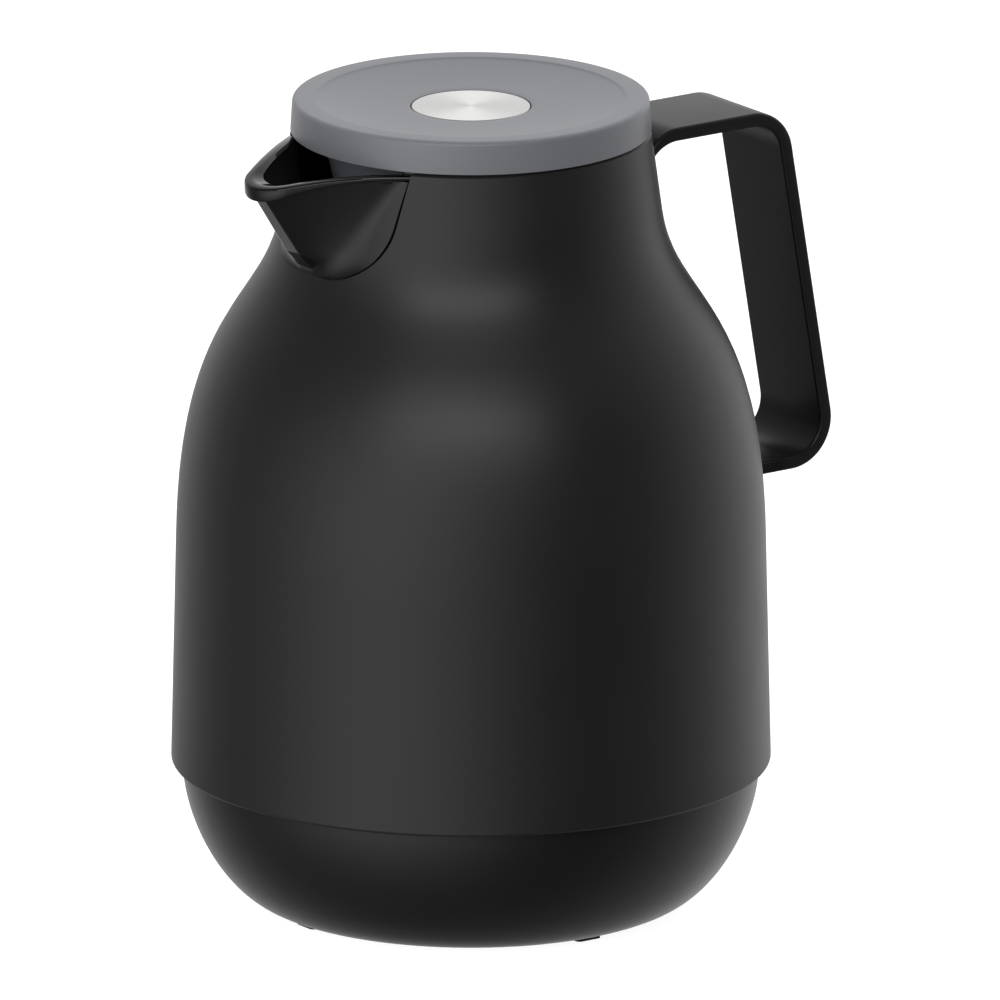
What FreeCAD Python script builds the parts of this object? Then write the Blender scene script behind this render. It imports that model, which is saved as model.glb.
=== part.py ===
# Thermal carafe: a plastic bell round a double-walled glass flask, with a strap handle, a pouring
# collar and a screw-in stopper lid whose push button opens the valve. Millimetres, +Z up.
# The origin is on the bell's axis, on the table. The handle points to +X and the spout to -X.
import FreeCAD, Part
import math
import os

V = FreeCAD.Vector
UP = V(0, 0, 1)

# Bell, the outer shell: radii and heights of its side line, from the lower edge to the rim
hip_r = 75.0
parting_z = 36.0
side_top_r = 73.65
side_top_z = 95.0
neck_foot_r = 47.7
neck_foot_z = 177.3
rim_r = 44.9
rim_z = 197.9
shoulder_pull = 58.5
neck_pull = 26.0
wall = 2.6
shell_lip = 2.0
hip_round = 0.8
rim_chamfer = 0.6
bond_depth = 8.0
seam_turn = 90.0

# Base cup and its feet
lap = 12.0
base_step = 0.7
base_wall = 2.6
base_side_pull = 17.0
base_floor_pull = 9.4
base_flat_r = 50.4
foot_proud = 0.8
foot_height = 2.0
foot_outer_r = 51.2
foot_length = 8.0
foot_width = 7.2
foot_round = 1.2
foot_count = 4
rib_count = 6
rib_width = 2.0
rib_height = 7.0
seat_ring_wall = 2.4
seat_ring_height = 8.0

# Glass flask
air_gap = 8.55
glass = 1.6
vacuum = 3.0
mouth_r = 27.5
lip_height = 2.4
flask_neck = 11.0
shoulder_r = 38.0
throat_r = 12.0
flask_flat_r = 23.05
tip_r = 4.0
tip_length = 6.0
spacer_r = 5.0
spacer_count = 3
spacer_height = 30.0
cushion_height = 12.5
cushion_hole_r = 9.0
gasket_height = 2.2

# Pouring collar: the funnel, the threaded bore and the ledge that the stopper's seal sits on
collar_wall = 1.6
funnel_draft = 2.8
bore_wall = 3.6
ledge_drop = 29.9
ledge_width = 2.2
ledge_height = 3.5
bore_height = 9.0
funnel_rise = 3.0
glass_sleeve = 6.0

# Spout: the U-shaped apron set in the neck, the beak with its keel, and the drooping lip
apron_half = 25.9
apron_draft = 7.0
apron_drop = 28.9
apron_corner_r = 17.0
keel_lean = 33.2
keel_foot_gap = 0.7
keel_foot_drop = 1.5
nose_r_top = 2.4
nose_r_foot = 8.4
lip_reach = 66.6
lip_spread = 33.8
lip_top_r = 100.0
lip_under_r = 62.0
lip_edge = 1.1
lip_level = 0.9
droop_start = 40.0
channel_wall = 2.5
channel_nose_r = 8.6
channel_foot_nose_r = 4.0
channel_depth = 17.0
channel_half = 20.4
channel_foot_half = 15.0

# Strap handle
strap_width = 23.6
strap_t = 3.5
strap_round = 0.8
arm_drop = 5.05
grip_height = 94.0
grip_reach = 87.9
grip_lean = 9.75
grip_corner_r = 12.0
root_bend_r = 9.5
root_reach = 9.0
root_slope = 52.0
root_flare = 3.2
root_flare_length = 7.0
root_pad_t = 5.0
root_pad_width = 12.0
root_pad_drop = 17.0
root_pad_round = 1.5
upper_screw_drop = 12.3
screw_r = 1.45
screw_head_r = 2.9
screw_head_t = 1.2
screw_bite = 3.4

# Stopper lid
lid_gap = 1.1
lid_r = 45.0
lid_draft = 0.5
lid_height = 7.5
lid_wall = 2.3
lid_round = 1.0
land_width = 6.0
land_round = 1.5
dish_depth = 2.3
plate_t = 2.4
socket_wall = 2.0
socket_depth = 4.0
guide_wall = 1.9
guide_length = 7.6
pour_gap = 3.5
stopper_draft = 13.0
stopper_wall = 2.2
thread_r = 32.9
thread_height = 7.0
port_height = 7.6
port_count = 4
port_width = 30.0
floor_t = 2.0
foot_t = 2.4
valve_seat_r = 17.0
bead = 0.8
bead_height = 1.3
seal_height = 2.2
seal_lap = 4.0

# Push button and valve
disc_r = 14.8
disc_t = 0.8
disc_round = 0.3
core_plate_t = 2.0
core_wall = 1.8
core_depth = 8.2
core_flange = 1.6
core_flange_t = 1.2
core_boss_r = 5.0
core_boss_length = 5.0
rod_r = 2.5
plug_t = 2.3
plug_lap = 3.5
plug_hub_r = 5.0
valve_seal_t = 1.25
valve_seal_width = 9.0
valve_screw_r = 1.5
valve_screw_head_r = 3.6
valve_screw_head_t = 1.4
valve_screw_length = 8.0
rod_seal_r = 0.9
spring_r = 7.6
spring_wire_r = 0.55
spring_turns = 4.5

# Clearances
fit = 0.1
loose = 0.3
slide_fit = 0.08

# Heights and radii that follow from the sizes above
collar_r = rim_r - wall - fit
funnel_r = collar_r - collar_wall
ledge_z = rim_z - ledge_drop
bore_r = thread_r + loose
ledge_r = bore_r - ledge_width
collar_foot_z = ledge_z - ledge_height
lip_z = collar_foot_z - gasket_height
flask_neck_r = mouth_r + 2 * glass + vacuum
base_top_r = hip_r - shell_lip - fit - base_step
flask_r = min(base_top_r - base_wall, side_top_r - wall) - air_gap
bottom_r = flask_r - flask_flat_r
seat_ring_r = flask_flat_r + fit
floor_z = foot_proud + base_wall
flask_z = floor_z + cushion_height
lid_z = rim_z + lid_gap
lid_top_z = lid_z + lid_height
dish_z = lid_top_z - dish_depth
button_bore_r = disc_r + loose
plate_z = dish_z - plate_t
stopper_r = funnel_r - pour_gap
seal_z = ledge_z + fit
shoulder_z = seal_z + seal_height + fit
thread_top_z = shoulder_z + thread_height
port_top_z = thread_top_z + port_height
stopper_foot_z = ledge_z - bead_height - fit
waist_r = stopper_r - (plate_z - socket_depth - port_top_z) * math.tan(math.radians(stopper_draft))
spigot_r = thread_r - seal_lap
spring_floor_z = port_top_z + floor_t
plug_z = stopper_foot_z - slide_fit - valve_seal_t
plug_r = valve_seat_r + plug_lap
rod_foot_z = plug_z - plug_t / 2
disc_z = dish_z - disc_t
core_z = disc_z - core_plate_t
apron_z = rim_z - apron_drop
arm_z = rim_z - arm_drop


def lines(*points):
    """Straight edges from point to point."""
    return [Part.LineSegment(a, b).toShape() for a, b in zip(points, points[1:])]


def arc(start, through, end):
    return Part.Arc(start, through, end).toShape()


def bezier(*poles):
    curve = Part.BezierCurve()
    curve.setPoles(list(poles))
    return curve


def rz(r, z):
    """A point of a turned outline: radius and height."""
    return V(r, 0, z)


def turned(edges):
    """The solid that a closed outline sweeps round the carafe's axis."""
    solid = Part.Face(Part.Wire(Part.__sortEdges__(edges))).revolve(V(0, 0, 0), UP, 360)
    if solid.Volume < 0:
        solid.reverse()
    return solid


def turned_polygon(*points):
    return turned(lines(*points, points[0]))


def tube(r_in, r_out, z_low, z_high):
    return turned_polygon(rz(r_in, z_low), rz(r_out, z_low), rz(r_out, z_high), rz(r_in, z_high))


def rod(r, z_low, z_high):
    return Part.makeCylinder(r, z_high - z_low, V(0, 0, z_low), UP)


def round_rings(solid, radius, rings):
    """Rounds the circular edges of a turned solid that lie at the given radii and heights."""
    chosen = []
    for edge in solid.Edges:
        if not isinstance(edge.Curve, Part.Circle):
            continue
        for r, z in rings:
            if abs(edge.Curve.Radius - r) < 1e-4 and abs(edge.Curve.Center.z - z) < 1e-4:
                chosen.append(edge)
    return solid.makeFillet(radius, chosen)


def around(solid, count, start=0.0):
    """Copies of a solid at equal angles round the axis."""
    copies = []
    for i in range(count):
        copy = solid.copy()
        copy.rotate(V(0, 0, 0), UP, start + 360.0 * i / count)
        copies.append(copy)
    return copies


def shoulder_curve(inset):
    """The S-curve of the bell between its straight side and its straight neck."""
    side_top = rz(side_top_r, side_top_z)
    neck_foot = rz(neck_foot_r, neck_foot_z)
    side_up = (side_top - rz(hip_r, parting_z)).normalize()
    neck_up = (rz(rim_r, rim_z) - neck_foot).normalize()
    poles = [side_top, side_top + side_up * shoulder_pull, neck_foot - neck_up * neck_pull, neck_foot]
    return bezier(*[pole - V(inset, 0, 0) for pole in poles])


def bell_radius(z):
    """Radius of the bell's outside at a height."""
    if z >= neck_foot_z:
        return neck_foot_r + (rim_r - neck_foot_r) * (z - neck_foot_z) / (rim_z - neck_foot_z)
    if z <= side_top_z:
        return hip_r + (side_top_r - hip_r) * (z - parting_z) / (side_top_z - parting_z)
    curve = shoulder_curve(0)
    low = 0.0
    high = 1.0
    for _ in range(50):
        middle = (low + high) / 2
        if curve.value(middle).z < z:
            low = middle
        else:
            high = middle
    return curve.value(low).x


def bell_solid(grow):
    """The bell filled in, from its lower edge to its rim, grown outwards by a clearance."""
    side = lines(rz(0, parting_z), rz(hip_r + grow, parting_z), rz(side_top_r + grow, side_top_z))
    neck = lines(rz(neck_foot_r + grow, neck_foot_z), rz(rim_r + grow, rim_z), rz(0, rim_z))
    neck += lines(rz(0, rim_z), rz(0, parting_z))
    return turned(side + [shoulder_curve(-grow).toShape()] + neck)


def apron_prism(grow):
    """The spout apron's U, seen from the front, drawn out through the neck's front wall."""
    draft = math.radians(apron_draft)
    top = rim_z + lid_gap
    low = apron_z - grow
    corner_r = apron_corner_r + grow
    half_top = apron_half + grow + (top - rim_z) * math.tan(draft)
    half_low = half_top - (top - low) * math.tan(draft)
    run = corner_r / math.tan(math.pi / 4 + draft / 2)
    centre_y = half_low - run
    centre_z = low + corner_r
    corner = math.atan2(low - centre_z, half_low - centre_y)

    def yz(side, y, z):
        return V(0, side * y, z)

    def bend(side):
        leave = yz(side, half_low + run * math.sin(draft), low + run * math.cos(draft))
        middle = yz(side, centre_y + corner_r * math.cos(corner), centre_z + corner_r * math.sin(corner))
        return leave, middle, yz(side, centre_y, low)

    right = bend(1)
    left = bend(-1)
    edges = lines(left[0], yz(-1, half_top, top), yz(1, half_top, top), right[0])
    edges += [arc(*right)] + lines(right[2], left[2]) + [arc(*left)]
    return Part.Face(Part.Wire(edges)).extrude(V(-2 * lip_reach, 0, 0))


def apron_side(z):
    """Half the apron's width at a height, without its rounded lower corners."""
    return apron_half - (rim_z - z) * math.tan(math.radians(apron_draft))


def beak_plan(z, tip, nose_r, back, half):
    """A level section of the beak: two flanks from the neck to a round nose."""
    centre = tip - nose_r
    away = math.hypot(centre - back, half)
    turn = math.atan2(half, centre - back) - math.asin(nose_r / away)
    touch = V(-(centre + nose_r * math.sin(turn)), nose_r * math.cos(turn), z)
    mirror = V(touch.x, -touch.y, z)
    nose = arc(touch, V(-tip, 0, z), mirror)
    flank = lines(mirror, V(-back, -half, z), V(-back, half, z), touch)
    return Part.Wire([nose] + flank)


def screw_heights():
    return [arm_z - upper_screw_drop, arm_z - grip_height + strap_t / 2]


def screw_tip(z):
    return bell_radius(z) + screw_bite


def make_body_shell():
    """Moulded bell: a step inside its lower edge takes the base, and its neck is notched for the spout.

    The seam of the turned surface is kept away from the notch and the screw holes."""
    stop_z = parting_z + lap
    bond_z = rim_z - bond_depth
    edges = lines(rz(hip_r - shell_lip, parting_z), rz(hip_r, parting_z), rz(side_top_r, side_top_z))
    edges += [shoulder_curve(0).toShape()]
    edges += lines(
        rz(neck_foot_r, neck_foot_z),
        rz(bell_radius(rim_z - rim_chamfer), rim_z - rim_chamfer),
        rz(rim_r - rim_chamfer, rim_z),
        rz(rim_r - wall, rim_z),
        rz(rim_r - wall, bond_z),
        rz(bell_radius(bond_z) - wall, bond_z),
        rz(neck_foot_r - wall, neck_foot_z),
    )
    edges += [shoulder_curve(wall).toShape()]
    edges += lines(
        rz(side_top_r - wall, side_top_z),
        rz(bell_radius(stop_z) - wall, stop_z),
        rz(hip_r - shell_lip, stop_z),
        rz(hip_r - shell_lip, parting_z),
    )
    shell = turned(edges)
    shell.rotate(V(0, 0, 0), UP, seam_turn)
    shell = round_rings(shell, hip_round, [(hip_r, parting_z)])
    shell = shell.cut(apron_prism(fit))
    for z in screw_heights():
        shell = shell.cut(Part.makeCylinder(screw_r + fit, screw_tip(z), V(0, 0, z), V(1, 0, 0)))
    return shell


def base_curve(inset):
    """The bowl's side, from the parting line down to its flat floor."""
    r = base_top_r - inset
    low = foot_proud + inset
    flat = base_flat_r - inset / 2
    return bezier(
        rz(r, parting_z), rz(r, parting_z - base_side_pull), rz(flat + base_floor_pull, low), rz(flat, low)
    )


def foot_pad(grow, z_low, z_high):
    """One foot: a block with rounded corners and an outer end on the foot circle."""
    block = Part.makeBox(
        foot_length + 2 * grow,
        foot_width + 2 * grow,
        z_high - z_low,
        V(foot_outer_r - foot_length - grow, -foot_width / 2 - grow, z_low),
    )
    upright = [edge for edge in block.Edges if abs(edge.tangentAt(edge.FirstParameter).z) > 0.9]
    return block.makeFillet(foot_round + grow, upright)


def make_base_cup():
    """Bowl with a spigot that plugs into the bell, a ring for the flask's cushion, and stiffening ribs."""
    spigot_r = hip_r - shell_lip - fit
    top = parting_z + lap
    inner_r = base_top_r - base_wall
    edges = lines(rz(base_top_r, parting_z), rz(spigot_r, parting_z), rz(spigot_r, top))
    edges += lines(rz(spigot_r, top), rz(inner_r, top), rz(inner_r, parting_z))
    edges += [base_curve(base_wall).toShape()]
    edges += lines(
        rz(base_flat_r - base_wall / 2, floor_z),
        rz(0, floor_z),
        rz(0, foot_proud),
        rz(base_flat_r, foot_proud),
    )
    edges += [base_curve(0).toShape()]
    cup = turned(edges)
    ring = tube(seat_ring_r, seat_ring_r + seat_ring_wall, floor_z, floor_z + seat_ring_height)
    rib_start = seat_ring_r + seat_ring_wall / 2
    rib = Part.makeBox(
        base_flat_r - rib_start, rib_width, rib_height, V(rib_start, -rib_width / 2, floor_z)
    )
    cup = cup.multiFuse([ring] + around(rib, rib_count)).removeSplitter()
    pocket = foot_pad(fit, foot_proud - base_wall, foot_height)
    return cup.cut(Part.makeCompound(around(pocket, foot_count)))


def make_base_feet():
    return Part.makeCompound(around(foot_pad(0, 0, foot_height), foot_count))


def flask_line(depth, top_z):
    """One face of the flask, from the axis at the bottom up to its mouth, moved inwards by depth."""
    body_r = flask_r - depth
    neck_r = flask_neck_r - depth
    low = flask_z + depth
    bottom_centre = rz(flask_flat_r, flask_z + bottom_r)
    corner = bottom_r - depth
    swing = math.acos(1 - (flask_r - flask_neck_r) / (shoulder_r + throat_r))
    throat_z = lip_z - flask_neck
    shoulder_z_low = throat_z - (shoulder_r + throat_r) * math.sin(swing)
    convex = shoulder_r - depth
    concave = throat_r + depth
    centre_low = rz(flask_r - shoulder_r, shoulder_z_low)
    centre_high = rz(flask_neck_r + throat_r, throat_z)

    def on_convex(angle):
        return centre_low + rz(convex * math.cos(angle), convex * math.sin(angle))

    def on_concave(angle):
        return centre_high - rz(concave * math.cos(angle), concave * math.sin(angle))

    quarter = math.radians(45)
    mid_corner = bottom_centre + rz(corner * math.cos(quarter), -corner * math.sin(quarter))
    edges = lines(rz(0, low), rz(flask_flat_r, low))
    edges += [arc(rz(flask_flat_r, low), mid_corner, rz(body_r, bottom_centre.z))]
    edges += lines(rz(body_r, bottom_centre.z), rz(body_r, shoulder_z_low))
    edges += [arc(on_convex(0), on_convex(swing / 2), on_convex(swing))]
    edges += [arc(on_concave(swing), on_concave(swing / 2), on_concave(0))]
    edges += lines(rz(neck_r, throat_z), rz(neck_r, top_z))
    return edges


def make_outer_flask():
    """Blown outer wall of the flask, with the sealed tip that the air was drawn out through."""
    top = lip_z - lip_height
    edges = flask_line(0, top) + lines(rz(flask_neck_r, top), rz(flask_neck_r - glass, top))
    edges += flask_line(glass, top) + lines(rz(0, flask_z + glass), rz(0, flask_z))
    tip = Part.makeCone(tip_r / 3, tip_r, tip_length, V(0, 0, flask_z - tip_length))
    return turned(edges).fuse(tip.fuse(rod(tip_r, flask_z, flask_z + glass / 2)))


def make_inner_flask():
    """Blown inner wall of the flask, turned over at the mouth into the lip that closes the vacuum."""
    outside = glass + vacuum
    inside = outside + glass
    top = lip_z - lip_height
    edges = flask_line(outside, top)
    edges += lines(rz(flask_neck_r - outside, top), rz(flask_neck_r, top), rz(flask_neck_r, lip_z))
    edges += lines(rz(flask_neck_r, lip_z), rz(mouth_r, lip_z))
    edges += flask_line(inside, lip_z)
    edges += lines(rz(0, flask_z + inside), rz(0, flask_z + outside))
    return turned(edges)


def make_flask_spacers():
    """Pads that keep the two glass walls apart low on the flask's side."""
    z = flask_z + bottom_r + spacer_height
    outer_r = flask_r - glass - slide_fit
    inner_r = flask_r - glass - vacuum + slide_fit
    pad = Part.makeCylinder(spacer_r, flask_r, V(0, 0, z), V(1, 0, 0))
    between = tube(inner_r, outer_r, z - 2 * spacer_r, z + 2 * spacer_r)
    half_step = 180.0 / spacer_count
    return Part.makeCompound(around(between.common(pad), spacer_count, half_step))


def make_liner_cushion():
    """Rubber ring in the base, under the flat of the flask's bottom."""
    return tube(cushion_hole_r, flask_flat_r, floor_z, flask_z)


def make_liner_gasket():
    return tube(mouth_r + glass / 2, flask_neck_r, lip_z, collar_foot_z)


def make_pouring_collar():
    """Gloss moulding in the neck: funnel, threaded bore, ledge, sleeve on the glass, and the spout."""
    bore_top = ledge_z + bore_height
    funnel_foot_r = funnel_r - (rim_z - bore_top - funnel_rise) * math.tan(math.radians(funnel_draft))
    outside_r = bore_r + bore_wall
    sleeve_r = flask_neck_r + loose
    sleeve_z = collar_foot_z - gasket_height - glass_sleeve
    space = turned_polygon(
        rz(0, ledge_z),
        rz(bore_r, ledge_z),
        rz(bore_r, bore_top),
        rz(funnel_foot_r, bore_top + funnel_rise),
        rz(funnel_r, rim_z),
        rz(funnel_r, lid_top_z),
        rz(0, lid_top_z),
    )
    blank = turned_polygon(
        rz(ledge_r, collar_foot_z),
        rz(sleeve_r, collar_foot_z),
        rz(sleeve_r, sleeve_z),
        rz(outside_r, sleeve_z),
        rz(outside_r, ledge_z),
        rz(collar_r, bore_top),
        rz(collar_r, rim_z),
        rz(ledge_r, rim_z),
    )
    apron = bell_solid(0).common(apron_prism(0)).cut(rod(collar_r - collar_wall, apron_z - lap, rim_z))
    collar = blank.multiFuse([apron, make_beak(), make_lip()])
    collar = collar.cut(make_channel())
    return collar.cut(space).removeSplitter()


def keel_reach(z):
    """How far the keel's edge stands from the axis at a height."""
    return bell_radius(apron_z) + keel_foot_gap + (z - apron_z) * math.tan(math.radians(keel_lean))


def make_beak():
    """The beak's flanks and keel, drawn up to the lip from below the apron's foot and trimmed to it."""
    sections = []
    for z, nose_r in ((apron_z - keel_foot_drop, nose_r_foot), (rim_z, nose_r_top)):
        half = apron_side(z)
        back = math.sqrt((bell_radius(z) - fit) ** 2 - half ** 2)
        sections.append(beak_plan(z, keel_reach(z), nose_r, back, half))
    beak = Part.makeLoft(sections, True, True)
    return beak.common(apron_prism(0)).cut(above_droop(lip_top_r, lip_level))


def above_droop(radius, drop):
    """All that lies above the lip's curve, which is level at the neck and droops towards the tip."""
    start = V(-droop_start, 0, rim_z - drop)
    far = 2 * lip_reach
    swing = math.asin(min((far - droop_start) / radius, 0.9))
    middle = V(start.x - radius * math.sin(swing / 2), 0, start.z - radius * (1 - math.cos(swing / 2)))
    end = V(start.x - radius * math.sin(swing), 0, start.z - radius * (1 - math.cos(swing)))
    top = start.z + hip_r
    edges = [arc(start, middle, end)]
    edges += lines(end, V(end.x, 0, top), V(0, 0, top), V(0, 0, start.z), start)
    face = Part.Face(Part.Wire(edges))
    face.translate(V(0, -hip_r, 0))
    return face.extrude(V(0, 2 * hip_r, 0))


def make_lip():
    """The flared lip: a rounded plan between two drooping curves, thicker at the tip."""
    radius = bell_radius(rim_z) - fit
    half = apron_half - fit
    back = math.sqrt(radius ** 2 - half ** 2)
    spread = math.radians(lip_spread)
    nose_r = ((lip_reach - back) * math.sin(spread) - half * math.cos(spread)) / (math.sin(spread) - 1)
    plan = beak_plan(apron_z, lip_reach, nose_r, back, half)
    block = Part.Face(plan).extrude(V(0, 0, lid_top_z - apron_z))
    band = block.cut(above_droop(lip_top_r, lip_level))
    return band.common(above_droop(lip_under_r, lip_level + lip_edge))


def make_channel():
    """The pouring channel inside the beak, open to the funnel."""
    floor = rim_z - channel_depth
    back = funnel_r - collar_wall
    foot_tip = keel_reach(floor) - 2 * channel_wall
    top_tip = lip_reach - channel_wall
    low = beak_plan(floor, foot_tip, channel_foot_nose_r, back, channel_foot_half)
    high = beak_plan(rim_z, top_tip, channel_nose_r, back, channel_half)
    trough = Part.makeLoft([low, high], True, True)
    return trough.fuse(Part.Face(high).extrude(V(0, 0, lid_gap)))


def strap_corner(corner, before, after, radius):
    """Where a rounded corner of the strap starts, its middle, and where it ends."""
    back = (before - corner).normalize()
    on = (after - corner).normalize()
    half = math.acos(back.dot(on)) / 2
    run = radius / math.tan(half)
    inwards = (back + on).normalize()
    middle = corner + inwards * (radius / math.sin(half) - radius)
    return corner + back * run, middle, corner + on * run


def strap_slab(edges, width):
    """A side outline drawn out to the strap's width, half to each side."""
    face = Part.Face(Part.Wire(edges))
    face.translate(V(0, -width / 2, 0))
    return face.extrude(V(0, width, 0))


def make_handle():
    """One bent strap: it arches out of the neck, turns down the leaning grip and back in to the side."""
    lean = math.tan(math.radians(grip_lean))
    slope = math.radians(root_slope)
    low_z = arm_z - grip_height
    inner_low = low_z + strap_t
    root_x = bell_radius(arm_z) + root_reach
    across = strap_t / math.cos(math.radians(grip_lean))

    def grip_x(z, inset):
        return grip_reach - inset + (arm_z - z) * lean

    def root(top_z):
        """The arch's end: bend start, bend middle, bend end, and a point inside the neck."""
        centre = V(root_x, 0, top_z - root_bend_r)
        start = centre + V(0, 0, root_bend_r)
        middle = centre + V(-math.sin(slope / 2), 0, math.cos(slope / 2)) * root_bend_r
        end = centre + V(-math.sin(slope), 0, math.cos(slope)) * root_bend_r
        return start, middle, end, end + V(-math.cos(slope), 0, -math.sin(slope)) * root_bend_r

    outer = root(arm_z)
    inner = root(arm_z - strap_t)
    inner_top = arm_z - strap_t
    side_x = side_top_r - wall
    flare_x = bell_radius(low_z) + root_flare_length
    far_out = [V(grip_x(arm_z, 0), 0, arm_z), V(grip_x(low_z, 0), 0, low_z)]
    far_in = [V(grip_x(inner_top, across), 0, inner_top), V(grip_x(inner_low, across), 0, inner_low)]
    bend_in = grip_corner_r - strap_t
    a = strap_corner(far_out[0], outer[0], far_out[1], grip_corner_r)
    b = strap_corner(far_out[1], far_out[0], V(side_x, 0, low_z), grip_corner_r)
    c = strap_corner(far_in[1], V(side_x, 0, inner_low), far_in[0], bend_in)
    d = strap_corner(far_in[0], far_in[1], inner[0], bend_in)
    edges = lines(outer[3], outer[2]) + [arc(outer[2], outer[1], outer[0])] + lines(outer[0], a[0])
    edges += [arc(*a)] + lines(a[2], b[0]) + [arc(*b)]
    edges += lines(b[2], V(side_x, 0, low_z), V(side_x, 0, inner_low), c[0])
    edges += [arc(*c)] + lines(c[2], d[0]) + [arc(*d)] + lines(d[2], inner[0])
    edges += [arc(inner[0], inner[1], inner[2])] + lines(inner[2], inner[3], outer[3])
    strap = strap_slab(edges, strap_width)
    rims = [e for e in strap.Edges if abs(abs(e.CenterOfMass.y) - strap_width / 2) < 1e-4]
    strap = strap.makeFillet(strap_round, [e for e in rims if e.BoundBox.XLength > strap_round])
    flare = lines(
        V(flare_x, 0, low_z + strap_round),
        V(side_x, 0, low_z - root_flare),
        V(side_x, 0, inner_low + root_flare),
        V(flare_x, 0, inner_low - strap_round),
        V(flare_x, 0, low_z + strap_round),
    )
    pad_low = arm_z - root_pad_drop
    pad_x = bell_radius(arm_z - upper_screw_drop) + root_pad_t
    pad_top = arm_z - strap_t / 2 - root_bend_r + math.sqrt(root_bend_r ** 2 - (root_x - pad_x) ** 2)
    pad = strap_slab(
        lines(
            V(inner[3].x, 0, pad_low),
            V(pad_x, 0, pad_low),
            V(pad_x, 0, pad_top),
            (inner[2] + outer[2]) * 0.5,
            (inner[3] + outer[3]) * 0.5,
            V(inner[3].x, 0, pad_low),
        ),
        root_pad_width,
    )
    pad_rims = [e for e in pad.Edges if e.BoundBox.XMin > pad_x - strap_round]
    pad = pad.makeFillet(root_pad_round, [e for e in pad_rims if e.BoundBox.YLength < strap_round])
    strap = strap.multiFuse([strap_slab(flare, strap_width - 2 * strap_round), pad])
    strap = strap.cut(bell_solid(fit))
    for z in screw_heights():
        strap = strap.cut(Part.makeCylinder(screw_r + fit, screw_tip(z) + fit, V(0, 0, z), V(1, 0, 0)))
    return strap


def make_handle_screws():
    """Two screws along X, with their heads on the inside of the bell."""
    screws = []
    for z in screw_heights():
        wall_r = min(bell_radius(z + screw_head_r), bell_radius(z - screw_head_r)) - wall
        face_x = math.sqrt(wall_r ** 2 - screw_head_r ** 2) - fit
        head = Part.makeCylinder(screw_head_r, screw_head_t, V(face_x - screw_head_t, 0, z), V(1, 0, 0))
        shank = Part.makeCylinder(screw_r, screw_tip(z) - face_x, V(face_x, 0, z), V(1, 0, 0))
        screws.append(head.fuse(shank))
    return Part.makeCompound(screws)


def make_lid_cover():
    """Dished cap with a skirt, a socket for the stopper and a guide tube for the button."""
    land_r = lid_r - land_width - lid_round
    top_r = lid_r - lid_draft
    bow = (land_r ** 2 - button_bore_r ** 2) / (2 * dish_depth)
    middle_r = (land_r + button_bore_r) / 2
    middle_z = dish_z + (middle_r ** 2 - button_bore_r ** 2) / (2 * bow)
    guide_r = button_bore_r + guide_wall
    socket_r = stopper_r + fit
    socket_z = plate_z - socket_depth
    under_z = lid_top_z - plate_t
    edges = [arc(rz(land_r, lid_top_z), rz(middle_r, middle_z), rz(button_bore_r, dish_z))]
    edges += lines(
        rz(button_bore_r, dish_z),
        rz(button_bore_r, dish_z - guide_length),
        rz(guide_r, dish_z - guide_length),
        rz(guide_r, plate_z),
        rz(socket_r, plate_z),
        rz(socket_r, socket_z),
        rz(socket_r + socket_wall, socket_z),
        rz(socket_r + socket_wall, under_z),
        rz(top_r - lid_wall, under_z),
        rz(lid_r - lid_wall, lid_z),
        rz(lid_r, lid_z),
        rz(top_r, lid_top_z),
        rz(land_r, lid_top_z),
    )
    cover = turned(edges)
    cover = round_rings(cover, lid_round, [(top_r, lid_top_z)])
    return round_rings(cover, land_round, [(land_r, lid_top_z)])


def make_stopper_body():
    """Tapered dry cup under the lid, with a seat for the rod's seal in its floor."""
    socket_z = plate_z - socket_depth
    cup = turned_polygon(
        rz(stopper_r, plate_z),
        rz(stopper_r, socket_z),
        rz(waist_r, port_top_z),
        rz(rod_r + slide_fit, port_top_z),
        rz(rod_r + slide_fit, spring_floor_z),
        rz(waist_r - stopper_wall, spring_floor_z),
        rz(stopper_r - stopper_wall, socket_z),
        rz(stopper_r - stopper_wall, plate_z),
    )
    seat_r = rod_r + slide_fit + 2 * rod_seal_r
    return cup.cut(rod(seat_r, spring_floor_z - 2 * rod_seal_r + fit, spring_floor_z))


def make_valve_cage():
    """Threaded ring welded under the cup: posts between its ports, and the valve's seat in its foot."""
    chamber_r = thread_r - stopper_wall
    cage = turned_polygon(
        rz(waist_r, port_top_z),
        rz(thread_r, thread_top_z),
        rz(thread_r, shoulder_z),
        rz(spigot_r, shoulder_z),
        rz(spigot_r, ledge_z),
        rz(spigot_r + bead, ledge_z),
        rz(spigot_r + bead, stopper_foot_z),
        rz(valve_seat_r, stopper_foot_z),
        rz(valve_seat_r, stopper_foot_z + foot_t),
        rz(spigot_r - stopper_wall, stopper_foot_z + foot_t),
        rz(chamber_r, shoulder_z + stopper_wall),
        rz(chamber_r, port_top_z),
    )
    port = Part.makeBox(stopper_r, port_width, 2 * port_height, V(valve_seat_r, -port_width / 2, thread_top_z))
    return cage.cut(Part.makeCompound(around(port, port_count)))


def make_stopper_seal():
    return tube(spigot_r + loose, thread_r - fit, seal_z, seal_z + seal_height)


def make_rod_seal():
    z = spring_floor_z - rod_seal_r + fit
    return Part.makeTorus(rod_r + slide_fit + rod_seal_r, rod_seal_r - slide_fit / 2, V(0, 0, z), UP)


def make_button_disc():
    """Steel plate on top of the button."""
    return round_rings(rod(disc_r, disc_z, dish_z), disc_round, [(disc_r, dish_z)])


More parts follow.
